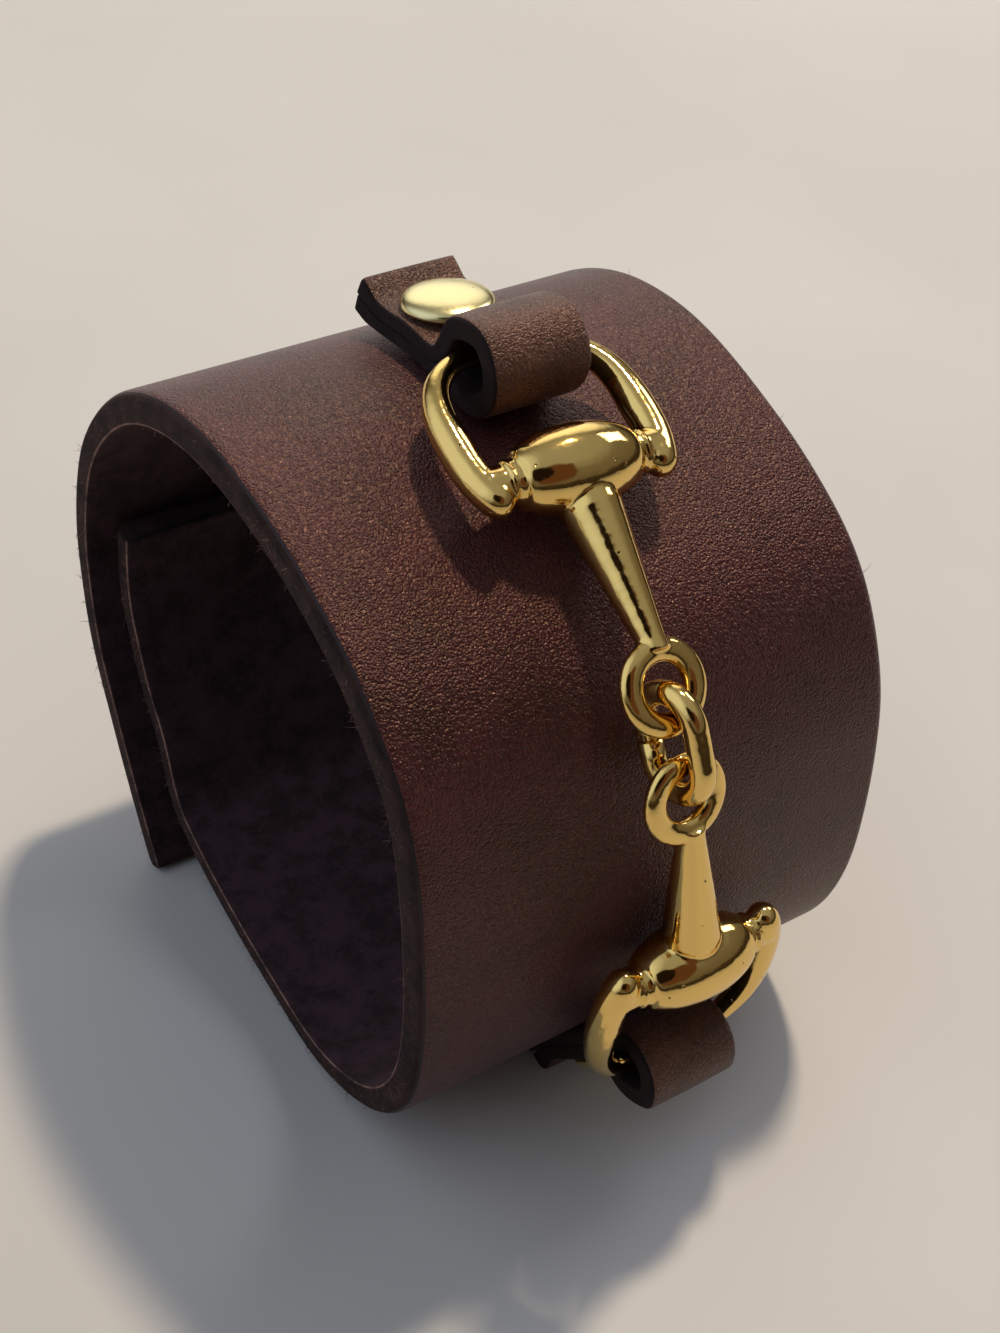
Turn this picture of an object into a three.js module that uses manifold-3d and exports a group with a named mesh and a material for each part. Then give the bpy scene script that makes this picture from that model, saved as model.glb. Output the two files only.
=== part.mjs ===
// A wide leather cuff bracelet with a gold snaffle bit across its front.
// Millimetres, +Z up. The cuff lies on its curved side: its axis runs along X, the bit faces -Y and up,
// and the origin is on the table under the middle of the whole bracelet.

import * as THREE from 'three';
import { mergeVertices } from 'three/addons/utils/BufferGeometryUtils.js';
import Module from 'manifold-3d';

const wasm = await Module();
wasm.setup();

// The cuff: one strip of leather, rolled a little off square
const cuffWidth = 50;
const cuffLeather = 3;
const loopRadius = 31.75;
const edgeBevel = 1.1;
const rollSkew = 2.8; // how far one full turn runs along the axis

// The loop isn't round: each row adds waves to its radius, as shares of loopRadius
const loopSwells = [
  { lobes: 2, share: 0.076, peakDeg: 31 },
  { lobes: 3, share: 0.022, peakDeg: -14 },
  { lobes: 4, share: 0.028, peakDeg: -44 },
  { lobes: 5, share: 0.011, peakDeg: 6 },
];
const loopStepDeg = 4.5;

// The closure: winding angles are counted from the front (0), over the top (90) to the back (180)
const innerEndTurn = -186;
const innerTuckedTurn = -142; // from here to its end the strip lies inside its own flap
const innerFreeTurn = -118;
const flapFollowTurn = 210; // past this the flap springs out straight
const flapStraight = 19.6;
const layerGap = 0.4;

// Straps
const strapWidth = 9.7;
const strapLeather = 2;
const strapBevel = 0.4;
const layerSlit = 0.15; // between the two layers of a folded strap
const pinch = 0.28; // the rivet squeezes each layer by this share
const pinchFade = 2.2; // and the leather is full again this far past the cap
const foldInnerRadius = { up: 2.6, down: 2 };
// Past the fold the upper layer comes down to the cap: how much of its height is left at each distance
const foldFall = [
  { fromBar: 2.1, left: 0.72 },
  { fromBar: 3.2, left: 0.25 },
  { fromBar: 4.3, left: 0 },
];
const barSlack = 0.75; // the round bar sits this far back in the fold, so that its falling arms clear the bend
const barSag = 0.3; // and this far below the fold's middle
const capStation = 9; // from the ring's bar to the rivet, along the leather
const tailLength = 7.8; // from the rivet to the strap's cut end
const tailStep = 0.7; // the upper layer is cut this much shorter
const tailLift = 0.6;

// Stations along the leather, measured up from the front, and how far each casting leans
const linkStation = 16.7;
const eyeSpacing = 8.4;
const eyeStation = { up: 17.4, down: 18.5 }; // from the eye to the barrel
const barStation = { up: 11.6, down: 9.1 }; // from the barrel to the ring's bar; both castings are alike
const leanDeg = { up: 4, down: 8.2 };
const ringLeanDeg = { up: 4, down: 0 };
const strapTurnDeg = { up: 1, down: -3 };
const strapSideStep = { up: 0.45, down: 0 }; // how far off the ring's middle the strap sits on its bar
const linkSideways = -2.4;
const linkTwistDeg = 8; // the link is turned this far about its own length

// The castings
const barrelRadius = 3.8;
const barrelHalf = 5.5;
const barrelEndRadius = 2.3;
const collarRadius = 2;
const collarLength = 1.3;
const collarGroove = 0.3;
const ringRadius = 8.85;
const ringReach = 13.4; // from the barrel's axis to the bar
const ringSquareness = 2.8; // 2 is a circle; a little more flattens the bar and straightens the arms
const ringBarRadius = 0.9;
const ringArmRadius = 1.6;
const armSwell = [0.15, 0.75]; // between these shares of the way from the bar's middle to an arm's end, the wire thickens
const armPast = 1; // the arms run this far past the barrel's axis
const coneWideRadius = 2.65;
const coneNarrowRadius = 1.25;
const coneShoulder = 0.4; // the cone's wide end stands this far out of the barrel
const eyeRadius = 3.1;
const eyeWire = 1.1;
const eyeThickness = 1.6; // the eye is a little flattened, to leave room for the link
const linkWire = 1.1;
const linkPlay = 0.95; // room between the eye and each leg of the link, which follows the bend of the wrist
const linkEndPlay = 0.45;

// Rivets and the snap
const rivetCapRadius = 4.25;
const rivetDome = 1.4;
const rivetPost = 1.5;
const innerCapRadius = 3.6;
const innerCapDome = 0.9;
const snapCapRadius = 4.6;
const snapPost = 2;
const snapTurn = 200;
const snapSideways = 1.5;

const gap = 0.3;
const flattened = 0.4; // how much of the leather is pressed flat where it rests
const rad = THREE.MathUtils.degToRad;

// Solids

function toSolid(geometry) {
  const bare = geometry.clone();
  bare.deleteAttribute('normal');
  bare.deleteAttribute('uv');
  const merged = mergeVertices(bare, 1e-4);
  return new wasm.Manifold(new wasm.Mesh({
    numProp: 3,
    vertProperties: new Float32Array(merged.attributes.position.array),
    triVerts: new Uint32Array(merged.index.array),
  }));
}

function toGeometry(solid) {
  const mesh = solid.getMesh();
  const geometry = new THREE.BufferGeometry();
  geometry.setAttribute('position', new THREE.BufferAttribute(new Float32Array(mesh.vertProperties), 3));
  geometry.setIndex(new THREE.BufferAttribute(new Uint32Array(mesh.triVerts), 1));
  geometry.computeVertexNormals();
  return geometry;
}

// Joins rings of points into a closed skin: capped at both ends, or round and back to the first ring
function loft(rings, closed = false) {
  const count = rings[0].length;
  const points = rings.flat();
  const index = [];
  const spans = closed ? rings.length : rings.length - 1;
  for (let i = 0; i < spans; i++) {
    const here = i * count;
    const next = ((i + 1) % rings.length) * count;
    for (let j = 0; j < count; j++) {
      const k = (j + 1) % count;
      index.push(here + j, here + k, next + k, here + j, next + k, next + j);
    }
  }
  if (!closed) {
    for (const [start, flip] of [[0, true], [(rings.length - 1) * count, false]]) {
      const middle = new THREE.Vector3();
      for (let j = 0; j < count; j++) middle.addScaledVector(points[start + j], 1 / count);
      points.push(middle);
      for (let j = 0; j < count; j++) {
        const edge = [start + j, start + ((j + 1) % count)];
        if (flip) edge.reverse();
        index.push(edge[0], edge[1], points.length - 1);
      }
    }
  }
  const geometry = new THREE.BufferGeometry().setFromPoints(points);
  geometry.setIndex(signedVolume(points, index) < 0 ? index.reverse() : index);
  return geometry;
}

function signedVolume(points, index) {
  let volume = 0;
  for (let i = 0; i < index.length; i += 3) {
    const [a, b, c] = [points[index[i]], points[index[i + 1]], points[index[i + 2]]];
    volume += a.dot(b.clone().cross(c));
  }
  return volume;
}

// A lathe turned about +Z, from rows of radius and height that start and end on the axis
function turned(rows, sides) {
  const lathe = new THREE.LatheGeometry(rows.map(([r, h]) => new THREE.Vector2(r, h)), sides);
  return lathe.rotateX(Math.PI / 2);
}

// The loop of the cuff, as seen along X

function radiusAt(deg) {
  let share = 1;
  for (const wave of loopSwells) share += wave.share * Math.cos(wave.lobes * rad(deg - wave.peakDeg));
  return loopRadius * share;
}

// A point and the outward normal on the loop's outer face, for a winding angle
function loopAt(turn) {
  const point = (w) => {
    const deg = 180 - w;
    return new THREE.Vector2(Math.cos(rad(deg)), Math.sin(rad(deg))).multiplyScalar(radiusAt(deg));
  };
  const along = point(turn + 0.05).sub(point(turn - 0.05)).normalize();
  return { point: point(turn), along, normal: new THREE.Vector2(-along.y, along.x) };
}

// The winding angle at a distance along the leather from the front
function turnAt(station) {
  const step = 0.25 * Math.sign(station || 1);
  let turn = 0;
  let walked = 0;
  while (walked < Math.abs(station)) {
    walked += loopAt(turn + step).point.distanceTo(loopAt(turn).point);
    turn += step;
  }
  return turn - step * (walked - Math.abs(station)) / (rad(0.25) * radiusAt(180 - turn));
}

// A place at a station along the leather and a height over it
function over(station, height) {
  const at = loopAt(turnAt(station));
  return { point: at.point.clone().addScaledVector(at.normal, height), along: at.along, normal: at.normal };
}

// How far the leather's hollow side rises under a flat disc
function sagUnder(turn, radius) {
  const spread = 4;
  const [before, after] = [loopAt(turn - spread), loopAt(turn + spread)];
  const bend = before.normal.angleTo(after.normal) / before.point.distanceTo(after.point);
  return radius ** 2 * bend / 2 / (1 - cuffLeather * bend);
}

const smooth = THREE.MathUtils.smoothstep;

// The strip's outer face: on the loop, tucked under its own flap at one end and straight at the other
function stripRows() {
  const rows = [];
  const steps = Math.round((flapFollowTurn - innerEndTurn) / loopStepDeg);
  for (let i = 0; i <= steps; i++) {
    const turn = THREE.MathUtils.lerp(innerEndTurn, flapFollowTurn, i / steps);
    const at = loopAt(turn);
    const tuck = (cuffLeather + layerGap) * (1 - smooth(turn, innerTuckedTurn, innerFreeTurn));
    rows.push({ turn, point: at.point.clone().addScaledVector(at.normal, -tuck) });
  }
  const last = loopAt(flapFollowTurn);
  const degPerMm = 180 / (Math.PI * loopRadius);
  for (const share of [0.5, 1]) {
    const out = flapStraight * share;
    rows.push({ turn: flapFollowTurn + out * degPerMm, point: last.point.clone().addScaledVector(last.along, out) });
  }
  return rows;
}

function normalsOf(points) {
  return points.map((_, i) => {
    const before = points[Math.max(i - 1, 0)];
    const after = points[Math.min(i + 1, points.length - 1)];
    const along = after.clone().sub(before).normalize();
    return new THREE.Vector2(-along.y, along.x);
  });
}

function cuffBand() {
  const half = cuffWidth / 2;
  const section = [
    { x: -half + edgeBevel, depth: 0 },
    { x: half - edgeBevel, depth: 0 },
    { x: half, depth: edgeBevel },
    { x: half, depth: cuffLeather },
    { x: -half, depth: cuffLeather },
    { x: -half, depth: edgeBevel },
  ];
  const rows = stripRows();
  const normals = normalsOf(rows.map((row) => row.point));
  const rings = rows.map(({ turn, point }, i) => section.map(({ x, depth }) => new THREE.Vector3(
    x - rollSkew * turn / 360,
    point.x - normals[i].x * depth,
    point.y - normals[i].y * depth,
  )));
  return toSolid(loft(rings));
}

// Each strap and casting is built for one side of the link: way is 1 up and -1 down

function sided(sizes, way) {
  return way > 0 ? sizes.up : sizes.down;
}

function stations(way) {
  const eye = linkStation + way * eyeSpacing / 2;
  const barrel = eye + way * sided(eyeStation, way);
  const bar = barrel + way * sided(barStation, way);
  return { eye, barrel, bar, rivet: bar + way * capStation };
}

function barHeight(way) {
  return gap + strapLeather + sided(foldInnerRadius, way);
}

const linkBend = eyeThickness / 2 + linkPlay + linkWire;
const eyeHeight = linkBend + linkWire + 2 * gap;
const barrelHeight = barrelRadius + gap;

function ringLean(way) {
  return rad(sided(ringLeanDeg, way));
}

// How far along X a casting lies at a station, and a strap at a distance from its bar
function sidewaysAt(way, station) {
  return linkSideways + Math.abs(station - linkStation) * Math.tan(rad(sided(leanDeg, way)));
}

function strapSideways(way, s) {
  const atBar = sidewaysAt(way, stations(way).barrel) + ringReach * Math.sin(ringLean(way)) + sided(strapSideStep, way);
  return atBar + Math.max(s, 0) * Math.tan(rad(sided(strapTurnDeg, way)));
}

// How much of its thickness the strap keeps at a distance from the bar
function pressed(s) {
  return 1 - pinch * (1 - smooth(Math.abs(s - capStation), rivetCapRadius + gap, rivetCapRadius + pinchFade));
}

// The strap's middle line: s runs from the bar towards the cut ends, h is over the leather
function strapLine(way) {
  const bend = sided(foldInnerRadius, way) + strapLeather / 2;
  const tail = capStation + tailLength;
  const lower = (s) => gap + strapLeather * pressed(s) / 2;
  const upper = (s) => gap + layerSlit + strapLeather * pressed(s) * 1.5;
  const top = barHeight(way) + bend;
  const rows = [tail, capStation + rivetCapRadius, capStation, capStation - rivetCapRadius, bend].map((s) => ({ s, h: lower(s) }));
  for (let deg = -90; deg >= -255; deg -= 27.5) {
    rows.push({ s: bend * Math.cos(rad(deg)), h: barHeight(way) + bend * Math.sin(rad(deg)) });
  }
  for (const { fromBar, left } of foldFall) rows.push({ s: fromBar, h: THREE.MathUtils.lerp(upper(capStation), top, left) });
  for (const s of [capStation, capStation + rivetCapRadius, tail - tailStep]) rows.push({ s, h: upper(s) });
  return rows;
}

// Maps s and h onto the cuff. The upper strap follows the leather up to its rivet and runs on straight,
// lifting a little; the lower strap stands straight at its rivet both ways
function strapPoint(way, s, h) {
  const { bar, rivet } = stations(way);
  const past = s - capStation;
  if (way > 0 && past <= 0) return over(bar + s, h).point;
  const at = over(rivet, 0);
  const lift = way > 0 ? tailLift * (Math.max(past - rivetCapRadius, 0) / (tailLength - rivetCapRadius)) ** 2 : 0;
  return at.point.clone().addScaledVector(at.along, way * past).addScaledVector(at.normal, h + lift);
}

function strap(way) {
  const half = strapWidth / 2;
  const thick = strapLeather / 2;
  const section = [
    { x: -half + strapBevel, depth: -thick },
    { x: half - strapBevel, depth: -thick },
    { x: half, depth: -thick + strapBevel },
    { x: half, depth: thick },
    { x: -half, depth: thick },
    { x: -half, depth: -thick + strapBevel },
  ];
  const rows = strapLine(way);
  const curve = new THREE.CatmullRomCurve3(rows.map(({ s, h }) => new THREE.Vector3(s, h, 0)), false, 'centripetal');
  const samples = curve.getSpacedPoints(38);
  const middle = samples.map(({ x, y }) => strapPoint(way, x, y));
  const normals = normalsOf(middle);
  const rings = samples.map((sample, i) => section.map(({ x, depth }) => new THREE.Vector3(
    x + strapSideways(way, sample.x),
    middle[i].x + way * normals[i].x * depth * pressed(sample.x),
    middle[i].y + way * normals[i].y * depth * pressed(sample.x),
  )));
  return toSolid(loft(rings));
}

// Turns a solid from its own frame to the cuff: its X stays along X, its Y runs up the leather
function placed(geometry, x, at, tiltTo = at.along) {
  const along = new THREE.Vector3(0, tiltTo.x, tiltTo.y);
  const side = new THREE.Vector3(1, 0, 0);
  const out = side.clone().cross(along);
  const matrix = new THREE.Matrix4().makeBasis(side, along, out).setPosition(x, at.point.x, at.point.y);
  return toSolid(geometry.clone().applyMatrix4(matrix));
}

// The half ring, drawn in its own plane round the barrel's middle: thin at the bar, thick in its arms
const ringCentre = ringReach - ringRadius; // from the barrel's axis

function ringReachAt(deg) {
  const share = Math.abs(Math.cos(rad(deg))) ** ringSquareness + Math.abs(Math.sin(rad(deg))) ** ringSquareness;
  return ringRadius * share ** (-1 / ringSquareness);
}

// How far below the ring's widest place, as an angle, its arms are a distance past the barrel's axis
function armDeg(past) {
  let deg = 0;
  while (ringReachAt(deg) * Math.sin(rad(deg)) < ringCentre + past) deg += 0.1;
  return deg;
}

function halfRing() {
  const endDeg = armDeg(armPast);
  const sides = 10;
  const steps = 28;
  const rings = [];
  for (let i = 0; i <= steps; i++) {
    const along = i / steps * 2 - 1;
    const wire = THREE.MathUtils.lerp(ringBarRadius, ringArmRadius, smooth(Math.abs(along), ...armSwell));
    rings.push(ringSection(90 + along * (90 + endDeg), wire, sides));
  }
  for (const [deg, way] of [[-endDeg, -1], [180 + endDeg, 1]]) {
    const ends = [0.55, 0.85, 0.98].map((share) => {
      const past = THREE.MathUtils.radToDeg(ringArmRadius * share / ringRadius);
      return ringSection(deg + way * past, ringArmRadius * Math.sqrt(1 - share ** 2), sides);
    });
    if (way < 0) rings.unshift(...ends.reverse());
    else rings.push(...ends);
  }
  return loft(rings);
}

function ringSection(deg, wire, sides) {
  const out = new THREE.Vector3(Math.cos(rad(deg)), Math.sin(rad(deg)), 0);
  const middle = out.clone().multiplyScalar(ringReachAt(deg));
  middle.y += ringCentre;
  return Array.from({ length: sides }, (_, j) => {
    const a = (j + 0.5) / sides * 2 * Math.PI;
    const point = middle.clone().addScaledVector(out, wire * Math.cos(a));
    point.z += wire * Math.sin(a);
    return point;
  });
}

// The barrel lies along X between two grooved collars that reach into the ring's arms
function barrel() {
  const armAt = ringReachAt(armDeg(0)) * Math.cos(rad(armDeg(0)));
  const rows = [[0, -armAt], [collarRadius, -armAt], [collarRadius, -barrelHalf - collarLength * 0.7]];
  rows.push([collarRadius - collarGroove, -barrelHalf - collarLength * 0.45], [collarRadius, -barrelHalf - collarLength * 0.2]);
  const steps = 8;
  for (let i = 0; i <= steps; i++) {
    const u = i / steps * 2 - 1;
    rows.push([barrelEndRadius + (barrelRadius - barrelEndRadius) * (1 - u * u) ** 0.8, u * barrelHalf]);
  }
  rows.push([collarRadius, barrelHalf + collarLength * 0.2], [collarRadius - collarGroove, barrelHalf + collarLength * 0.45]);
  rows.push([collarRadius, barrelHalf + collarLength * 0.7], [collarRadius, armAt], [0, armAt]);
  return turned(rows, 14).rotateY(Math.PI / 2);
}

// A lathe turned about the line from one point to another, from rows of radius and distance
function turnedBetween(rows, sides, from, to) {
  const direction = to.clone().sub(from).normalize();
  const turn = new THREE.Quaternion().setFromUnitVectors(new THREE.Vector3(0, 0, 1), direction);
  const matrix = new THREE.Matrix4().makeRotationFromQuaternion(turn).setPosition(from);
  return toSolid(turned(rows, sides).applyMatrix4(matrix));
}

// The cone runs from inside the barrel to the rim of the eye
function cone(from, to) {
  const end = from.distanceTo(to) + eyeWire * 0.3;
  const start = barrelRadius * 0.5;
  return turnedBetween([
    [0, start],
    [coneWideRadius, start],
    [coneWideRadius, barrelRadius + coneShoulder],
    [coneNarrowRadius, end - eyeWire],
    [coneNarrowRadius, end],
    [0, end],
  ], 12, from, to);
}

// The eye lies along the leather, so its ring leans away from the cone's line
function eyeAt(way) {
  const station = stations(way).eye;
  const at = over(station, eyeHeight);
  return { x: sidewaysAt(way, station), at, point: new THREE.Vector3(sidewaysAt(way, station), at.point.x, at.point.y) };
}

function bitHalf(way) {
  const at = stations(way);
  const x = sidewaysAt(way, at.barrel);
  const lean = ringLean(way);
  const middle = over(at.barrel, barrelHeight);
  const barrelPoint = new THREE.Vector3(x, middle.point.x, middle.point.y);
  const bar = strapPoint(way, barSlack, barHeight(way) - barSag).sub(middle.point);
  const upright = way > 0 ? 0 : Math.PI;
  const ring = halfRing().rotateZ(upright - way * lean);
  const egg = barrel().rotateZ(-way * lean);
  const eye = eyeAt(way);
  const along = new THREE.Vector3(Math.tan(rad(sided(leanDeg, way))), way * eye.at.along.x, way * eye.at.along.y);
  const rim = eye.point.clone().addScaledVector(along.normalize(), eyeRadius);
  const torus = new THREE.TorusGeometry(eyeRadius, eyeWire, 8, 16).scale(1, 1, eyeThickness / 2 / eyeWire);
  return placed(ring, x, middle, bar.clone().normalize().multiplyScalar(way))
    .add(placed(egg, x, middle))
    .add(cone(barrelPoint, rim))
    .add(placed(torus, eye.x, eye.at));
}

// The link stands nearly on edge and holds both eyes
function link() {
  const [upper, lower] = [eyeAt(1).point, eyeAt(-1).point];
  const long = upper.clone().sub(lower);
  const straight = long.length() / 2 - eyeRadius + eyeWire + linkEndPlay - (linkBend - linkWire);
  long.normalize();
  const normal = over(linkStation, 0).normal;
  const out = new THREE.Vector3(0, normal.x, normal.y);
  out.addScaledVector(long, -out.dot(long)).normalize().applyAxisAngle(long, rad(linkTwistDeg));
  const side = long.clone().cross(out);
  const middle = upper.clone().add(lower).multiplyScalar(0.5);
  const rings = [];
  const steps = 16;
  for (let i = 0; i < steps; i++) {
    const a = (i + 0.5) / steps * 2 * Math.PI;
    const outward = long.clone().multiplyScalar(Math.cos(a)).addScaledVector(out, Math.sin(a));
    const centre = middle.clone().addScaledVector(outward, linkBend).addScaledVector(long, Math.sign(Math.cos(a)) * straight);
    rings.push(Array.from({ length: 6 }, (_, j) => {
      const b = (j + 0.5) / 6 * 2 * Math.PI;
      return centre.clone().addScaledVector(outward, linkWire * Math.cos(b)).addScaledVector(side, linkWire * Math.sin(b));
    }));
  }
  return toSolid(loft(rings, true));
}

// A rivet along +Z: inner cap, post and domed outer cap, from the leather's inside to its outside
function rivetRows(inside, outside, post, innerCap, outerCap, dome) {
  return [
    [0, inside - gap - innerCapDome],
    [innerCap * 0.7, inside - gap - innerCapDome * 0.8],
    [innerCap, inside - gap - innerCapDome * 0.2],
    [innerCap, inside - gap],
    [post, inside - gap],
    [post, outside + gap],
    [outerCap, outside + gap],
    [outerCap * 0.97, outside + gap + dome * 0.32],
    [outerCap * 0.8, outside + gap + dome * 0.66],
    [outerCap * 0.45, outside + gap + dome * 0.93],
    [0, outside + gap + dome],
  ];
}

// A post hole or rivet that stands on the leather at a winding angle
function standing(geometry, x, at) {
  const normal = new THREE.Vector3(0, at.normal.x, at.normal.y);
  const along = new THREE.Vector3(0, at.along.x, at.along.y);
  const matrix = new THREE.Matrix4().makeBasis(new THREE.Vector3(1, 0, 0), along, normal);
  return toSolid(geometry.clone().applyMatrix4(matrix.setPosition(x, at.point.x, at.point.y)));
}

const strapStack = gap + layerSlit + 2 * strapLeather * (1 - pinch);

function rivet(way, radius = rivetPost, hole = false) {
  const { rivet: station } = stations(way);
  const inside = -cuffLeather - sagUnder(turnAt(station), innerCapRadius);
  const rows = hole
    ? [[0, -cuffLeather * 2], [radius, -cuffLeather * 2], [radius, strapStack * 2], [0, strapStack * 2]]
    : rivetRows(inside, strapStack, radius, innerCapRadius, rivetCapRadius, rivetDome);
  return standing(turned(rows, 16), strapSideways(way, capStation), over(station, 0));
}

function snap(radius = snapPost, hole = false) {
  const inside = -2 * cuffLeather - layerGap - sagUnder(snapTurn, innerCapRadius);
  const rows = hole
    ? [[0, inside * 2], [radius, inside * 2], [radius, cuffLeather], [0, cuffLeather]]
    : rivetRows(inside, 0, radius, innerCapRadius, snapCapRadius, rivetDome);
  return standing(turned(rows, 16), snapSideways, loopAt(snapTurn));
}

const holes = [rivet(1, rivetPost + gap, true), rivet(-1, rivetPost + gap, true), snap(snapPost + gap, true)];
const band = cuffBand().subtract(holes[0]).subtract(holes[1]).subtract(holes[2]);
const lowerStrap = strap(-1).subtract(holes[1]);

// The bracelet rests on the flap's end and on the lower strap's end, both pressed flat there
const tableZ = Math.max(band.boundingBox().min[2], lowerStrap.boundingBox().min[2]) + flattened;
const table = toSolid(new THREE.BoxGeometry(200, 200, 40).translate(0, 0, tableZ - 20));

const leather = new THREE.MeshStandardMaterial({ color: 0x3f2620, roughness: 0.5, metalness: 0 });
const strapHide = new THREE.MeshStandardMaterial({ color: 0x43291f, roughness: 0.55, metalness: 0 });
const gold = new THREE.MeshStandardMaterial({ color: 0xd9ae52, roughness: 0.15, metalness: 1 });

const solids = {
  cuff_band: [band.subtract(table), leather],
  strap_upper: [strap(1).subtract(holes[0]), strapHide],
  strap_lower: [lowerStrap.subtract(table), strapHide],
  bit_half_upper: [bitHalf(1), gold],
  bit_half_lower: [bitHalf(-1), gold],
  link: [link(), gold],
  rivet_upper: [rivet(1), gold],
  rivet_lower: [rivet(-1), gold],
  closure_snap: [snap(), gold],
};

const bracelet = new THREE.Group();
for (const [name, [solid, material]] of Object.entries(solids)) {
  const mesh = new THREE.Mesh(toGeometry(solid), material);
  mesh.name = name;
  bracelet.add(mesh);
}

// The origin is on the table, under the middle of the bracelet's box
const box = new THREE.Box3().setFromObject(bracelet);
const centre = box.getCenter(new THREE.Vector3());
bracelet.position.set(-centre.x, -centre.y, -box.min.z);

export default bracelet;
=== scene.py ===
# %% [markdown]
# # A leather cuff bracelet with a snaffle bit
# The real bracelet is one wide strip of thick leather, rolled round the wrist and snapped shut at the back.
# A small gold horse bit lies across its front, held by two folded straps. A plain model of it is loaded
# first as a frame: it fixes every size and place, and each piece that we make here stands where its plain
# twin is.

# %% Load the plain model
import math

import bpy
import numpy as np
from mathutils import Matrix, Vector


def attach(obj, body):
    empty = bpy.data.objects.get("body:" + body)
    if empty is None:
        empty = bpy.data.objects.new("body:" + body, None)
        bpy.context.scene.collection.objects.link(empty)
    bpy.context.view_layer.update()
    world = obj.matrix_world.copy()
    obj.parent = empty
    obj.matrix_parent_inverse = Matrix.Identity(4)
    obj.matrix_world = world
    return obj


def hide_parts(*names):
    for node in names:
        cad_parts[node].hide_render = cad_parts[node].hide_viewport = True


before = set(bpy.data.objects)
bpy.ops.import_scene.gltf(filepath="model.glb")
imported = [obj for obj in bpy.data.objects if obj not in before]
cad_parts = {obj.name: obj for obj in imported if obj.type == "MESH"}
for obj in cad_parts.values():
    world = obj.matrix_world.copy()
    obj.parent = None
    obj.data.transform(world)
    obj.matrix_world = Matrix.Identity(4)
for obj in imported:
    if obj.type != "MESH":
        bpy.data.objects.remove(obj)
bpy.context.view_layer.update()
print("plain nodes:", sorted(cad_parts))

# %% [markdown]
# ## The cuff's own numbers
# A maker writes the sizes down before cutting. These are millimetres, the same as in the plain model, so
# both describe one object. The cuff lies on its side: its axis runs along X, and the bit faces -Y and up.

# %% Sizes in millimetres
MM = 0.001
AXIS_AT = Vector((0.231, 3.709, 30.737))  # where the loop's own axis runs, over the table

cuff_width, cuff_leather, loop_radius, edge_bevel = 50.0, 3.0, 31.75, 1.1
roll_skew = 2.8  # how far the strip drifts sideways in one turn
loop_swells = [(2, 0.076, 31.0), (3, 0.022, -14.0), (4, 0.028, -44.0), (5, 0.011, 6.0)]  # lobes, share, peak
inner_end_turn, inner_tucked_turn, inner_free_turn = -186.0, -142.0, -118.0
flap_follow_turn, flap_straight, layer_gap = 210.0, 19.6, 0.4

strap_width, strap_leather, layer_slit = 9.7, 2.0, 0.15
pinch, pinch_fade = 0.28, 2.2  # the share that the rivet squeezes away, and how far past its cap that fades
fold_inner_radius = {1: 2.6, -1: 2.0}  # here and below, 1 is the upper strap or casting and -1 the lower
fold_fall = [(2.1, 0.72), (3.2, 0.25), (4.3, 0.0)]  # distance from the bar, share of the fold's height left
bar_slack, bar_sag = 0.75, 0.3
cap_station, tail_length, tail_step, tail_lift = 9.0, 7.8, 0.7, 0.6

link_station, eye_spacing, link_sideways, link_twist = 16.7, 8.4, -2.4, math.radians(8)
eye_station = {1: 17.4, -1: 18.5}
bar_station = {1: 11.6, -1: 9.1}
lean = {1: math.radians(4), -1: math.radians(8.2)}
ring_lean = {1: math.radians(4), -1: 0.0}
strap_turn = {1: math.radians(1), -1: math.radians(-3)}
strap_side_step = {1: 0.45, -1: 0.0}

barrel_radius, barrel_half, barrel_end_radius = 3.8, 5.5, 2.3
collar_radius, collar_length, collar_groove = 2.0, 1.3, 0.3
ring_radius, ring_reach, ring_squareness = 8.85, 13.4, 2.8
ring_bar_radius, ring_arm_radius, arm_swell, arm_past = 0.9, 1.6, (0.15, 0.75), 1.0
cone_wide_radius, cone_narrow_radius, cone_shoulder = 2.65, 1.25, 0.4
eye_radius, eye_wire, eye_thickness = 3.1, 1.1, 1.6
link_wire, link_play, link_end_play, link_cut = 1.1, 0.95, 0.45, 0.32

rivet_cap_radius, rivet_dome, rivet_post, inner_cap_radius, inner_cap_dome = 4.25, 1.4, 1.5, 3.6, 0.9
cap_rim_height = 0.26
snap_cap_radius, snap_post, snap_turn, snap_sideways = 4.6, 2.0, 200.0, 1.5
gap = 0.3
print("a cuff", cuff_width, "mm wide, about", round(2 * math.pi * loop_radius), "mm round")

# %% [markdown]
# ## The camera
# The photograph looks down on the near mouth from the left. Its place was worked out from the cuff's two
# rims, which are the same curve 50 mm apart: that fixes the distance, the lens and a slight roll together.

# %% Put the camera in place
camera_right = Vector((0.8292, -0.5467, 0.1162))
camera_up = Vector((0.3136, 0.6272, 0.7130))
camera_back = Vector((-0.4627, -0.5548, 0.6915))
camera_at = (Vector((-85.05, -106.24, 130.41)) + AXIS_AT) * MM

camera = bpy.data.objects.new("camera", bpy.data.cameras.new("camera"))
bpy.context.scene.collection.objects.link(camera)
turn = Matrix((camera_right, camera_up, camera_back)).transposed()
camera.matrix_world = Matrix.Translation(camera_at) @ turn.to_4x4()
focal_pixels, frame_pixels = 1950, 1333  # measured on the photograph's longer side
camera.data.sensor_width = 36
camera.data.lens = focal_pixels / frame_pixels * camera.data.sensor_width
camera.data.clip_start, camera.data.clip_end = 0.01, 20
bpy.context.scene.camera = camera
print("the camera stands", round(camera_at.length * 1000), "mm from the bracelet")

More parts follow.
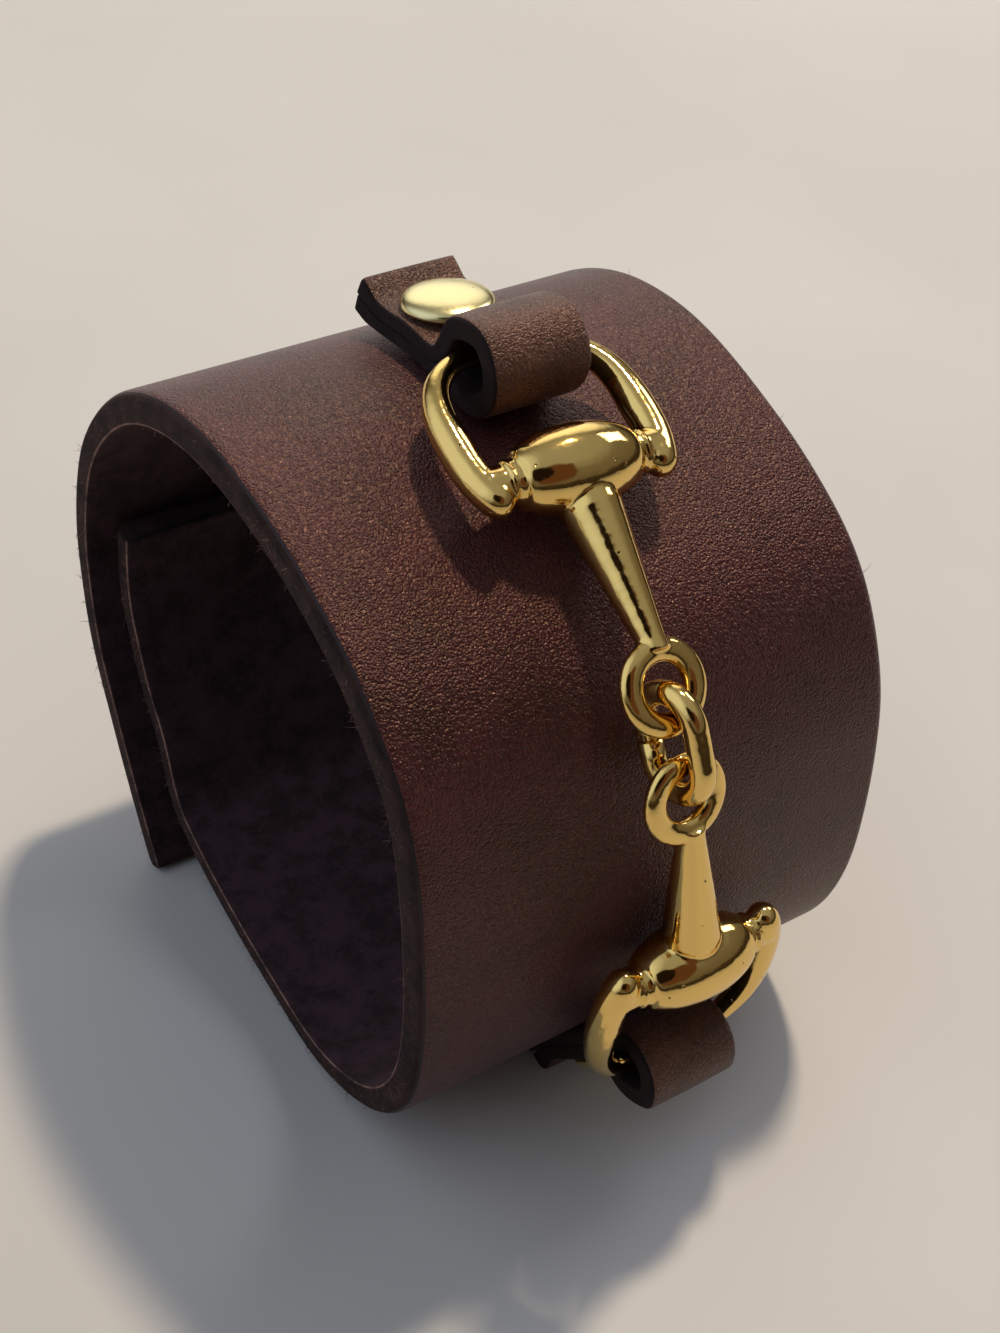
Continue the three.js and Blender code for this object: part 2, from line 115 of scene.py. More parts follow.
# %% [markdown]
# ## Colours and nodes
# Colours are given as screen hex values. A renderer works in linear light, so one function turns
# them. Materials are built from nodes, and one small function adds a node with its settings and its links.
# Every pattern starts from the same coordinate, in millimetres, so that its scale can be taken from the real
# thing.


# %% Helpers for materials
def linear(hex_value):
    """An sRGB hex colour as linear RGBA."""
    channels = [int(hex_value[i : i + 2], 16) / 255 for i in (1, 3, 5)]
    return [c / 12.92 if c <= 0.04045 else ((c + 0.055) / 1.055) ** 2.4 for c in channels] + [1.0]


def add_node(tree, kind, settings=None, **inputs):
    """Adds one node. settings are its properties, and stops for a colour ramp; each input is a value, or a
    node's output to link. A keyword is the socket's name, or i and its number."""
    made = tree.nodes.new(kind)
    for name, value in (settings or {}).items():
        if name == "stops":
            elements = made.color_ramp.elements
            while len(elements) < len(value):
                elements.new(0.5)
            for element, (position, colour) in zip(elements, value):
                element.position = position
                element.color = (colour, colour, colour, 1) if isinstance(colour, float) else colour
        else:
            setattr(made, name, value)
    for name, value in inputs.items():
        key = int(name[1:]) if name[0] == "i" and name[1:].isdigit() else name.replace("_", " ")
        if isinstance(value, bpy.types.NodeSocket):
            tree.links.new(value, made.inputs[key])
        else:
            made.inputs[key].default_value = value
    return made


def new_material(name):
    """An empty material with its output node and a coordinate in millimetres."""
    material = bpy.data.materials.new(name)
    material.use_nodes = True
    tree = material.node_tree
    tree.nodes.clear()
    output = add_node(tree, "ShaderNodeOutputMaterial")
    place = add_node(tree, "ShaderNodeTexCoord")
    in_metres = place.outputs["Object"]
    in_mm = add_node(tree, "ShaderNodeVectorMath", {"operation": "SCALE"}, i0=in_metres, Scale=1 / MM)
    return material, tree, output, in_mm.outputs[0]


# %% [markdown]
# ## Leather, grain side
# The cuff is vegetable-tanned cowhide, dyed dark brown and waxed. Its grain is a fine pebble of low cells
# with pores between them, about 0.25 mm across, and it is drawn at that size. The wax makes it glint: each
# pebble catches the light by itself, which reads as a bronze sparkle in the sun. The dye sits in the wax, so
# what glints back is warm: the highlight is tinted, and turns pale only at a grazing look.


# %% Waxed cowhide
def waxed_cowhide(name, dark, light, pebble_mm, rough=0.37, tint="#ffc5a2"):
    """dark and light are the dye's two tones, rough the wax's middle roughness, tint its glint."""
    material, tree, output, mm = new_material(name)
    wobble = add_node(tree, "ShaderNodeTexNoise", Vector=mm, Scale=2.0, Detail=2.0)
    pushed = add_node(
        tree, "ShaderNodeVectorMath", {"operation": "MULTIPLY_ADD"},
        i0=wobble.outputs["Color"], i1=(0.4, 0.4, 0.4), i2=mm,
    )
    pebble = add_node(tree, "ShaderNodeTexVoronoi", Vector=pushed.outputs[0], Scale=1 / pebble_mm)
    fine = add_node(tree, "ShaderNodeTexNoise", Vector=mm, Scale=4.6, Detail=3.0, Roughness=0.6)
    cloud = add_node(tree, "ShaderNodeTexNoise", Vector=mm, Scale=0.12, Detail=5.0, Roughness=0.6)
    lines = add_node(tree, "ShaderNodeVectorMath", {"operation": "MULTIPLY"}, i0=mm, i1=(0.5, 1.2, 1.2))
    crease = add_node(
        tree, "ShaderNodeTexNoise", Vector=lines.outputs[0], Scale=0.3, Detail=4.0, Roughness=0.6
    )

    tone = add_node(
        tree, "ShaderNodeMath", {"operation": "MULTIPLY_ADD"},
        i0=fine.outputs["Fac"], i1=0.7, i2=cloud.outputs["Fac"],
    )
    dye = add_node(
        tree, "ShaderNodeValToRGB", {"stops": [(0.6, linear(dark)), (1.1, linear(light))]},
        Fac=tone.outputs[0],
    )
    pore = add_node(
        tree, "ShaderNodeValToRGB", {"stops": [(0.3, 1.0), (0.75, 0.5)]}, Fac=pebble.outputs["Distance"]
    )
    colour = add_node(
        tree, "ShaderNodeMix", {"data_type": "RGBA", "blend_type": "MULTIPLY"},
        i0=1.0, i6=dye.outputs["Color"], i7=pore.outputs["Color"],
    )

    low = add_node(tree, "ShaderNodeMath", {"operation": "MULTIPLY"}, i0=fine.outputs["Fac"], i1=0.4)
    height = add_node(
        tree, "ShaderNodeMath", {"operation": "MULTIPLY_ADD"},
        i0=pebble.outputs["Distance"], i1=-0.8, i2=low.outputs[0],
    )
    folded = add_node(
        tree, "ShaderNodeMath", {"operation": "MULTIPLY_ADD"},
        i0=crease.outputs["Fac"], i1=0.5, i2=height.outputs[0],
    )
    bump = add_node(tree, "ShaderNodeBump", Strength=1.0, Distance=0.14 * MM, Height=folded.outputs[0])
    gloss = add_node(
        tree, "ShaderNodeMapRange",
        Value=fine.outputs["Fac"], From_Min=0.35, From_Max=0.65, To_Min=rough + 0.1, To_Max=rough - 0.14,
    )
    shader = add_node(
        tree, "ShaderNodeBsdfPrincipled",
        Base_Color=colour.outputs[2], Roughness=gloss.outputs[0], Normal=bump.outputs[0], IOR=1.5,
        Specular_IOR_Level=0.7, Specular_Tint=linear(tint),
        Sheen_Weight=0.08, Sheen_Roughness=0.45, Sheen_Tint=linear("#c9c9dc"),
    )
    tree.links.new(shader.outputs[0], output.inputs[0])
    return material


cuff_grain = waxed_cowhide("waxed_cowhide", "#20090f", "#4d1e29", pebble_mm=0.24)
strap_grain = waxed_cowhide("waxed_strap_leather", "#2b1714", "#704b3e", pebble_mm=0.22, tint="#ffd2b4")
print("made", cuff_grain.name, strap_grain.name)

# %% [markdown]
# ## Leather, cut edge and flesh side
# A knife leaves the hide's fibres open: the cut edge is matt and fuzzy, with pale fibre ends in a dark core.
# The flesh side is the same fibres brushed flat, like suede. Neither reflects, so roughness is near one, and
# the bump does the work. Fibres are far thinner than a pixel, so their mat is drawn at 0.2 to 0.35 mm to
# show. The skived corner is rubbed with wax, a thin smoother line along the rim.


# %% Open fibres and a burnished corner
def open_fibre(name, dark, light, fleck, fibre_mm, depth_mm):
    """Matted fibres: two tones in patches, and the paler tips of single fibres."""
    material, tree, output, mm = new_material(name)
    matted = add_node(
        tree, "ShaderNodeTexNoise", Vector=mm, Scale=1 / fibre_mm, Detail=6.0, Roughness=0.75, Distortion=1.2
    )
    patches = add_node(tree, "ShaderNodeTexNoise", Vector=mm, Scale=0.35, Detail=5.0, Roughness=0.65)
    tone = add_node(
        tree, "ShaderNodeMath", {"operation": "MULTIPLY_ADD"},
        i0=matted.outputs["Fac"], i1=0.6, i2=patches.outputs["Fac"],
    )
    base = add_node(
        tree, "ShaderNodeValToRGB", {"stops": [(0.68, linear(dark)), (0.9, linear(light))]},
        Fac=tone.outputs[0],
    )
    tips = add_node(
        tree, "ShaderNodeValToRGB", {"stops": [(0.62, 0.0), (0.74, 1.0)]}, Fac=matted.outputs["Fac"]
    )
    colour = add_node(
        tree, "ShaderNodeMix", {"data_type": "RGBA"},
        i0=tips.outputs["Color"], i6=base.outputs["Color"], i7=linear(fleck),
    )
    bump = add_node(
        tree, "ShaderNodeBump", Strength=0.9, Distance=depth_mm * MM, Height=matted.outputs["Fac"]
    )
    shader = add_node(
        tree, "ShaderNodeBsdfPrincipled",
        Base_Color=colour.outputs[2], Roughness=0.92, Normal=bump.outputs[0],
        Specular_IOR_Level=0.25, Sheen_Weight=0.25, Sheen_Roughness=0.5, Sheen_Tint=linear("#8c6a5e"),
    )
    tree.links.new(shader.outputs[0], output.inputs[0])
    return material


def burnished_edge(name, colour):
    """Fibres rubbed down with wax: streaky, and smoother than the cut."""
    material, tree, output, mm = new_material(name)
    streak = add_node(tree, "ShaderNodeTexNoise", Vector=mm, Scale=2.2, Detail=4.0, Roughness=0.6)
    deeper = [c * 0.7 for c in linear(colour)[:3]] + [1.0]
    tone = add_node(
        tree, "ShaderNodeValToRGB", {"stops": [(0.3, deeper), (0.75, linear(colour))]},
        Fac=streak.outputs["Fac"],
    )
    bump = add_node(tree, "ShaderNodeBump", Strength=0.4, Distance=0.1 * MM, Height=streak.outputs["Fac"])
    shader = add_node(
        tree, "ShaderNodeBsdfPrincipled",
        Base_Color=tone.outputs["Color"], Roughness=0.5, Normal=bump.outputs[0], Specular_IOR_Level=0.3,
    )
    tree.links.new(shader.outputs[0], output.inputs[0])
    return material


cuff_edge = open_fibre("raw_cut_edge", "#0f0809", "#36211f", "#5f4540", 0.3, 0.35)
cuff_flesh = open_fibre("suede_flesh_side", "#23161a", "#3d2a30", "#4a3436", 0.35, 0.12)
strap_edge = open_fibre("dark_strap_edge", "#0c0809", "#1b1214", "#33241f", 0.2, 0.16)
# This pale finish also paints a highlight line on the cuff's inner corner chamfer.
stray_fibre_and_highlight_finish = open_fibre("stray_fibres_and_painted_corner_highlight", "#4a3430", "#8a6a5e", "#b8968a", 0.6, 0.02)
cuff_burnish = burnished_edge("burnished_corner", "#241416")
print("made", cuff_edge.name, cuff_flesh.name, strap_edge.name, stray_fibre_and_highlight_finish.name, cuff_burnish.name)

# %% [markdown]
# ## Gold-plated castings
# The bit is brass, cast, tumbled smooth and plated with pale yellow gold. Plating copies the metal below:
# the surface is mirror-like but never flat, with slow waves from polishing and a few pinholes from casting.


# %% Polished gold plate
def gold_plate(name, colour="#f2cd7a", rough=0.08, wave=0.2):
    """wave is how strongly the polish undulates, over about 2.4 mm; pits lie about 2 mm apart."""
    material, tree, output, mm = new_material(name)
    waves = add_node(tree, "ShaderNodeTexNoise", Vector=mm, Scale=0.42, Detail=2.0)
    scratch = add_node(tree, "ShaderNodeTexNoise", Vector=mm, Scale=3.5, Detail=5.0, Roughness=0.7)
    holes = add_node(tree, "ShaderNodeTexVoronoi", Vector=mm, Scale=0.5, Randomness=1.0)
    pits = add_node(
        tree, "ShaderNodeValToRGB", {"stops": [(0.03, 0.0), (0.075, 1.0)]}, Fac=holes.outputs["Distance"]
    )
    slow = add_node(tree, "ShaderNodeBump", Strength=wave, Distance=0.4 * MM, Height=waves.outputs["Fac"])
    fine = add_node(
        tree, "ShaderNodeBump",
        Strength=0.08, Distance=0.05 * MM, Height=scratch.outputs["Fac"], Normal=slow.outputs[0],
    )
    pitted = add_node(
        tree, "ShaderNodeBump",
        Strength=0.6, Distance=0.1 * MM, Height=pits.outputs["Color"], Normal=fine.outputs[0],
    )
    tint = add_node(
        tree, "ShaderNodeMix", {"data_type": "RGBA"},
        i0=pits.outputs["Color"], i6=linear("#4a3618"), i7=linear(colour),
    )
    gloss = add_node(
        tree, "ShaderNodeMapRange", Value=scratch.outputs["Fac"], To_Min=rough * 0.6, To_Max=rough * 1.5
    )
    shader = add_node(
        tree, "ShaderNodeBsdfPrincipled",
        Base_Color=tint.outputs[2], Metallic=1.0, Roughness=gloss.outputs[0], Normal=pitted.outputs[0],
    )
    tree.links.new(shader.outputs[0], output.inputs[0])
    return material


gold = gold_plate("polished_gold_plate")
cap_gold = gold_plate("gold_rivet_caps", colour="#ebdb9f", rough=0.2, wave=0.12)
print("made", gold.name, cap_gold.name)

# %% [markdown]
# ## The loop
# Seen along its axis the cuff isn't round: it is squeezed by its closure and its own stiffness. Its radius
# is a circle plus a few waves. A winding angle starts at the front, runs over the top, and reaches the back
# at 180.


# %% The loop's curve
def radius_at(deg):
    share = 1 + sum(s * np.cos(lobes * np.radians(deg - peak)) for lobes, s, peak in loop_swells)
    return loop_radius * share


def loop_point(turn_deg):
    deg = 180 - turn_deg
    return np.array([math.cos(math.radians(deg)), math.sin(math.radians(deg))]) * radius_at(deg)


def loop_at(turn_deg):
    """Point, direction along the leather and outward normal, in the plane across the axis."""
    along = loop_point(turn_deg + 0.05) - loop_point(turn_deg - 0.05)
    along /= np.linalg.norm(along)
    return loop_point(turn_deg), along, np.array([-along[1], along[0]])


def turn_at(station):
    """The winding angle at a distance along the leather from the front."""
    step = 0.25 if station >= 0 else -0.25
    angle = walked = 0.0
    while walked < abs(station):
        walked += np.linalg.norm(loop_point(angle + step) - loop_point(angle))
        angle += step
    return angle - step * (walked - abs(station)) / (math.radians(0.25) * radius_at(180 - angle))


def over(station, height):
    point, along, normal = loop_at(turn_at(station))
    return point + normal * height, along, normal


def sag_under(turn_deg, radius):
    """How far the hollow side rises under a flat disc."""
    (p, _, n), (q, _, m) = loop_at(turn_deg - 4), loop_at(turn_deg + 4)
    bend = math.acos(np.clip(n @ m, -1, 1)) / np.linalg.norm(p - q)
    return radius**2 * bend / 2 / (1 - cuff_leather * bend)


def smooth(value, low, high):
    t = np.clip((value - low) / (high - low), 0, 1)
    return t * t * (3 - 2 * t)


print("front to bit's link:", link_station, "mm; there the winding angle is", round(turn_at(link_station), 1))

# %% [markdown]
# ## Skinning
# Nearly every piece is a loft: the same outline repeated along a path and joined by four-sided faces. One
# function makes the faces, and one hands the finished mesh to the scene, turned from millimetres to metres.


# %% Loft and piece
def loft(rings, closed=False):
    """Vertices and faces from equal rings of points. Returns points, faces and each face's column."""
    rings = np.asarray(rings, float)
    count, sides = rings.shape[:2]
    points = [tuple(p) for p in rings.reshape(-1, 3)]
    faces, columns = [], []
    for i in range(count if closed else count - 1):
        here, after = i * sides, (i + 1) % count * sides
        for j in range(sides):
            k = (j + 1) % sides
            faces.append((here + j, here + k, after + k, after + j))
            columns.append(j)
    if not closed:
        for start, flip in ((0, True), ((count - 1) * sides, False)):
            middle = len(points)
            points.append(tuple(np.mean(points[start : start + sides], axis=0)))
            for j in range(sides):
                a, b = start + j, start + (j + 1) % sides
                faces.append((b, a, middle) if flip else (a, b, middle))
                columns.append(-1)
    return points, faces, columns


def outward(points, faces):
    """The faces, turned round if their normals point inward."""
    p = np.asarray(points)
    volume = 0.0
    for face in faces:
        for i in range(1, len(face) - 1):
            volume += p[face[0]] @ np.cross(p[face[i]], p[face[i + 1]])
    return faces if volume > 0 else [tuple(reversed(face)) for face in faces]


def piece(name, points, faces, materials, which=None, nodes=()):
    """A finished piece: it rides on the root, stands for its plain nodes and takes its slot's finish."""
    mesh = bpy.data.meshes.new(name)
    moved = (np.asarray(points, float) + np.array(AXIS_AT)) * MM
    mesh.from_pydata([tuple(p) for p in moved], [], outward(points, faces))
    for material in materials:
        mesh.materials.append(material)
    if which is not None:
        mesh.polygons.foreach_set("material_index", which)
    mesh.shade_smooth()
    made = bpy.data.objects.new(name, mesh)
    bpy.context.scene.collection.objects.link(made)
    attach(made, "root")
    if nodes:
        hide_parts(*nodes)
    print(name, len(mesh.polygons), "faces")
    return made


def normals_of(line):
    line = np.asarray(line, float)
    along = np.empty_like(line)
    along[1:-1] = line[2:] - line[:-2]
    along[0], along[-1] = line[1] - line[0], line[-1] - line[-2]
    along /= np.linalg.norm(along, axis=1)[:, None]
    return np.stack([-along[:, 1], along[:, 0]], 1)


# %% [markdown]
# ## The cuff
# One strip, 50 mm wide. Its outer face follows the loop; one end tucks in a leather's thickness below, the
# other springs out straight as the flap. The cross-section has a skived outer corner and a crisp inner one,
# whose tiny chamfer is painted in the pale fibre colour as a highlight line.
# Leather is never perfectly even, so the edges wander by a tenth of a millimetre or two and the face has
# slow waves.


# %% The strip's path
def strip_line(step_deg=1.2):
    turns = list(np.arange(inner_end_turn, flap_follow_turn + 0.01, step_deg))
    turns[-1] = flap_follow_turn
    line = []
    for angle in turns:
        point, _, normal = loop_at(angle)
        tuck = (cuff_leather + layer_gap) * (1 - smooth(angle, inner_tucked_turn, inner_free_turn))
        line.append(point - normal * tuck)
    last, along, _ = loop_at(flap_follow_turn)  # from here on the flap is straight
    deg_per_mm = 180 / (math.pi * loop_radius)
    for out in np.linspace(0, flap_straight, 26)[1:]:
        turns.append(flap_follow_turn + out * deg_per_mm)
        line.append(last + along * out)
    return np.array(turns), np.array(line)


turns, line = strip_line()
strip_length = np.linalg.norm(np.diff(line, axis=0), axis=1).sum()
print("the strip is", round(strip_length), "mm long")


# %% The cuff's cross-section and mesh
# The last finish is the stray fibres' pale colour, and also a painted highlight line on the inner corner.
GRAIN, BURNISHED, CUT, FLESH, FIBRES_AND_HIGHLIGHT = range(5)  # the cuff's finishes, in this order on its piece


def rounded_corner(half, radius, top, finishes):
    """(x, depth, finish) over the right-hand corner, from the face to the side."""
    steps = len(finishes) + 1
    rows = []
    for i, finish in enumerate(finishes, 1):
        a = math.radians(90 * i / steps)
        rows.append((half - radius + radius * math.sin(a), top + radius * (1 - math.cos(a)), finish))
    return rows


def cuff_outline(chamfer_across=0.08, chamfer_deep=0.07, straight_end=0.25):
    """(x, depth, finish) round the strip, anticlockwise from the face's left corner."""
    half = cuff_width / 2
    right = rounded_corner(half, edge_bevel, 0.0, (GRAIN, GRAIN, BURNISHED, CUT, CUT))
    right += [(half, d, CUT) for d in np.linspace(edge_bevel, cuff_leather - straight_end, 7)]
    # The inner corner's tiny chamfer takes the pale fibre finish: a painted highlight line along each rim.
    right.append((half - chamfer_across, cuff_leather - chamfer_deep, FIBRES_AND_HIGHLIGHT))
    face = [(x, 0.0, GRAIN) for x in np.linspace(-half + edge_bevel, half - edge_bevel, 64)]
    inner = [(x, cuff_leather, FLESH) for x in np.linspace(half - straight_end, -half + straight_end, 40)]
    return face + right + inner + [(-x, d, finish) for x, d, finish in reversed(right)]


def wander(values, seed, span, size):
    """Slow uneven waves: a sum of a few sines with fixed random phases."""
    rng = np.random.default_rng(seed)
    total = np.zeros_like(values, float)
    for k in range(1, 6):
        total += np.sin(values * 2 * math.pi * k / span + rng.uniform(0, 7)) / k
    return total * size


def square_to(direction):
    """Two directions square to a third."""
    one = np.cross(direction, [0.3, 0.5, 0.81])
    one /= np.linalg.norm(one)
    return one, np.cross(direction, one)


outline = cuff_outline()
across = np.array([row[0] for row in outline])
depth = np.array([row[1] for row in outline])
normals = normals_of(line)
rings = []
for i, angle in enumerate(turns):
    s = angle * math.pi * loop_radius / 180
    uneven = wander(np.array([s]), seed=3, span=60, size=0.07)[0] * across / (cuff_width / 2)
    swell = wander(np.array([s]), seed=5, span=45, size=0.03)[0] * (depth < 0.5)
    pull = depth - swell
    x = across + uneven - roll_skew * angle / 360
    rings.append(np.stack([x, line[i, 0] - normals[i, 0] * pull, line[i, 1] - normals[i, 1] * pull], 1))
points, faces, columns = loft(rings)
kinds = [row[2] for row in outline]
which = [kinds[c] if c >= 0 else CUT for c in columns]
faces = outward(points, faces)
print("the strip's outline has", len(outline), "points")

# %% [markdown]
# ## Fibre ends
# A blade can't cut every fibre clean. Hundreds stand out of the edge as a short fuzz, and a few long ones
# bow away from it. Each is a thin three-sided taper, grown from a fixed random seed, so it is the same every
# time.


# %% Loose fibres along both edges
def fibre_ends(seed=8, short_mm=(0.25, 0.7), long_mm=(1.0, 1.7), short_share=0.93):
    """Loose fibres that stand out of both cut edges, mostly short, a few long and bowed."""
    taper = ((0, 0.028), (0.35, 0.026), (0.7, 0.02), (1, 0.006))  # share of the length, radius in mm
    corners = (0, 2.09, 4.19)  # thirds of a turn
    rng = np.random.default_rng(seed)
    all_points, all_faces = [], []
    for side, count in ((-1, 800), (1, 260)):
        for _ in range(count):
            i = rng.integers(2, len(turns) - 2)
            deep = rng.uniform(edge_bevel * 0.7, cuff_leather)
            x = side * (cuff_width / 2 - 0.05) - roll_skew * turns[i] / 360
            root = np.array([x, *(line[i] - normals[i] * deep)])
            length = rng.uniform(*short_mm) if rng.random() < short_share else rng.uniform(*long_mm)
            tip = rng.normal(0, 0.75 if length < 1 else 1.6, 2)
            along = np.array([normals[i, 1], -normals[i, 0]])
            grows = np.array([side * 0.6, *(normals[i] * tip[0] + along * tip[1])])
            grows /= np.linalg.norm(grows)
            one, other = square_to(grows)
            bow = np.cross(grows, rng.normal(0, 1, 3)) * length * 0.25
            hair = []
            for t, thick in taper:
                middle = root + grows * length * t + bow * t * t
                hair.append([middle + thick * (math.cos(a) * one + math.sin(a) * other) for a in corners])
            more, hair_faces, _ = loft(hair)
            start = len(all_points)
            all_faces += [tuple(start + k for k in face) for face in outward(more, hair_faces)]
            all_points += more
    return all_points, all_faces


fibre_points, fibre_faces = fibre_ends()
start = len(points)
points = points + fibre_points
faces = faces + [tuple(start + k for k in face) for face in fibre_faces]
which = which + [FIBRES_AND_HIGHLIGHT] * len(fibre_faces)
table_z = -AXIS_AT[2]
points = [(x, y, max(z, table_z)) for x, y, z in points]
finishes = [cuff_grain, cuff_burnish, cuff_edge, cuff_flesh, stray_fibre_and_highlight_finish]
piece("cuff_band_leather", points, faces, finishes, which, ["cuff_band"])

# %% [markdown]
# ## Straps
# Each strap is one narrow strip that runs to the ring, folds round its bar and comes back over itself. The
# rivet squeezes both layers together, so the strap dips under the cap and rises again to the round fold.


# %% Places along the leather
def stations(way):
    """Distances from the front: way is 1 for the upper half of the bit and -1 for the lower."""
    eye = link_station + way * eye_spacing / 2
    barrel = eye + way * eye_station[way]
    bar = barrel + way * bar_station[way]
    return {"eye": eye, "barrel": barrel, "bar": bar, "rivet": bar + way * cap_station}


def bar_height(way):
    return gap + strap_leather + fold_inner_radius[way]


link_bend = eye_thickness / 2 + link_play + link_wire
eye_height = link_bend + link_wire + 2 * gap
barrel_height = barrel_radius + gap


def sideways_at(way, station):
    return link_sideways + abs(station - link_station) * math.tan(lean[way])


def strap_sideways(way, s):
    at_barrel = sideways_at(way, stations(way)["barrel"])
    at_bar = at_barrel + ring_reach * math.sin(ring_lean[way]) + strap_side_step[way]
    return at_bar + max(s, 0) * math.tan(strap_turn[way])


def pressed(s):
    """The share of the strap's thickness that is left: least under the rivet's cap."""
    freed = smooth(abs(s - cap_station), rivet_cap_radius + gap, rivet_cap_radius + pinch_fade)
    return 1 - pinch * (1 - freed)


def strap_point(way, s, h):
    """A place on the strap: s from the bar towards the cut ends, h over the cuff's leather."""
    at = stations(way)
    past = s - cap_station
    if way > 0 and past <= 0:
        return over(at["bar"] + s, h)[0]
    point, along, normal = over(at["rivet"], 0)
    out_share = max(past - rivet_cap_radius, 0) / (tail_length - rivet_cap_radius)
    lift = tail_lift * out_share**2 if way > 0 else 0
    return point + along * way * past + normal * (h + lift)


def layer_middle(s, layer):
    """How high a layer's middle runs by the rivet: 0 is the under layer, 1 the one on top."""
    return gap + layer * layer_slit + strap_leather * pressed(s) * (layer + 0.5)


print("both bars:", [round(stations(way)["bar"], 1) for way in (1, -1)], "mm along the leather")


# %% The folded line
def strap_rows(way):
    """(distance from the bar, height over the cuff) from the under layer's end, round the fold and back."""
    bend = fold_inner_radius[way] + strap_leather / 2
    tail = cap_station + tail_length
    past_cap, before_cap = cap_station + rivet_cap_radius, cap_station - rivet_cap_radius
    rows = [(s, layer_middle(s, 0)) for s in (tail, past_cap, cap_station, before_cap, bend)]
    for deg in np.arange(-90, -255.1, -27.5):
        a = math.radians(deg)
        rows.append((bend * math.cos(a), bar_height(way) + bend * math.sin(a)))
    top, pressed_down = bar_height(way) + bend, layer_middle(cap_station, 1)
    rows += [(s, pressed_down + (top - pressed_down) * left) for s, left in fold_fall]
    rows += [(s, layer_middle(s, 1)) for s in (cap_station, past_cap, tail - tail_step)]
    return np.array(rows)


def rounded_line(rows, count):
    """A centripetal Catmull-Rom curve through the rows, at even spacing."""
    rows = np.vstack([2 * rows[0] - rows[1], rows, 2 * rows[-1] - rows[-2]])
    fine = []
    for p0, p1, p2, p3 in zip(rows[:-3], rows[1:-2], rows[2:-1], rows[3:]):
        t = np.cumsum([0] + [math.sqrt(np.linalg.norm(b - a)) for a, b in ((p0, p1), (p1, p2), (p2, p3))])
        for u in np.linspace(t[1], t[2], 24, endpoint=False):
            a1 = (t[1] - u) / (t[1] - t[0]) * p0 + (u - t[0]) / (t[1] - t[0]) * p1
            a2 = (t[2] - u) / (t[2] - t[1]) * p1 + (u - t[1]) / (t[2] - t[1]) * p2
            a3 = (t[3] - u) / (t[3] - t[2]) * p2 + (u - t[2]) / (t[3] - t[2]) * p3
            b1 = (t[2] - u) / (t[2] - t[0]) * a1 + (u - t[0]) / (t[2] - t[0]) * a2
            b2 = (t[3] - u) / (t[3] - t[1]) * a2 + (u - t[1]) / (t[3] - t[1]) * a3
            fine.append((t[2] - u) / (t[2] - t[1]) * b1 + (u - t[1]) / (t[2] - t[1]) * b2)
    fine.append(rows[-2])
    fine = np.array(fine)
    walked = np.concatenate([[0], np.cumsum(np.linalg.norm(np.diff(fine, axis=0), axis=1))])
    even = np.linspace(0, walked[-1], count)
    return np.stack([np.interp(even, walked, fine[:, k]) for k in range(2)], 1)


print("folded strap:", len(strap_rows(1)), "rows")


# %% The strap's cross-section and mesh
STRAP_GRAIN, STRAP_CUT = range(2)  # a strap's finishes; its flesh side is hidden and takes the cut one


def strap_outline(corner=0.45, crown=0.06, straight_end=0.1):
    """(x, depth, finish) round the strip. The grain side is crowned a little."""
    half, thick = strap_width / 2, strap_leather / 2
    right = rounded_corner(half, corner, -thick, (STRAP_GRAIN, STRAP_GRAIN, STRAP_CUT, STRAP_CUT))
    right += [(half, d, STRAP_CUT) for d in np.linspace(-thick + corner, thick - straight_end, 6)]
    face = []
    for x in np.linspace(-half + corner, half - corner, 22):
        face.append((x, -thick * (1 + crown * (1 - (x / half) ** 2)), STRAP_GRAIN))
    inner = [(x, thick, STRAP_CUT) for x in np.linspace(half - straight_end, -half + straight_end, 16)]
    return face + right + inner + [(-x, d, finish) for x, d, finish in reversed(right)]


def strap_piece(way, name, node, sample_step=0.35):
    """One folded strap. Its edges wander slowly; sample_step is about the way between two samples, in mm."""
    samples = rounded_line(strap_rows(way), 170)
    middle = np.array([strap_point(way, s, h) for s, h in samples])
    normal = normals_of(middle)
    rows = strap_outline()
    across = np.array([row[0] for row in rows])
    depth = np.array([row[1] for row in rows])
    rings = []
    for i, (s, _) in enumerate(samples):
        thin = pressed(s)
        edge = wander(np.array([i * sample_step]), seed=11 + way, span=30, size=0.05)[0] * across / 5
        rings.append(np.stack([
            across + edge + strap_sideways(way, s),
            middle[i, 0] - way * normal[i, 0] * depth * thin,
            middle[i, 1] - way * normal[i, 1] * depth * thin,
        ], 1))
    points, faces, columns = loft(rings)
    points = [(x, y, max(z, table_z)) for x, y, z in points]
    which = [rows[c][2] if c >= 0 else STRAP_CUT for c in columns]
    return piece(name, points, faces, [strap_grain, strap_edge], which, [node])


strap_piece(1, "strap_upper_leather", "strap_upper")
strap_piece(-1, "strap_lower_leather", "strap_lower")

# %% [markdown]
# ## The bit's castings
# Each half was poured as one piece: a half ring whose thin middle is the strap's bar and whose ends swell to
# knobs, an egg-shaped barrel between two grooved collars, a cone and an eye. The parts are laid into each
# other and a fine voxel remesh makes them one skin, as pouring does; smoothing then rounds the joints.


# %% Shapes that a casting is made of
def lathe(rows, sides):
    """Rings turned about +Z from (radius, height) rows."""
    angles = np.arange(sides) / sides * 2 * math.pi
    return [np.stack([r * np.cos(angles), r * np.sin(angles), np.full(sides, h)], 1) for r, h in rows]


def ring_reach_at(deg):
    """The ring's outline is between a circle and a square: this is its reach from its own centre."""
    a = math.radians(deg)
    share = abs(math.cos(a)) ** ring_squareness + abs(math.sin(a)) ** ring_squareness
    return ring_radius * share ** (-1 / ring_squareness)


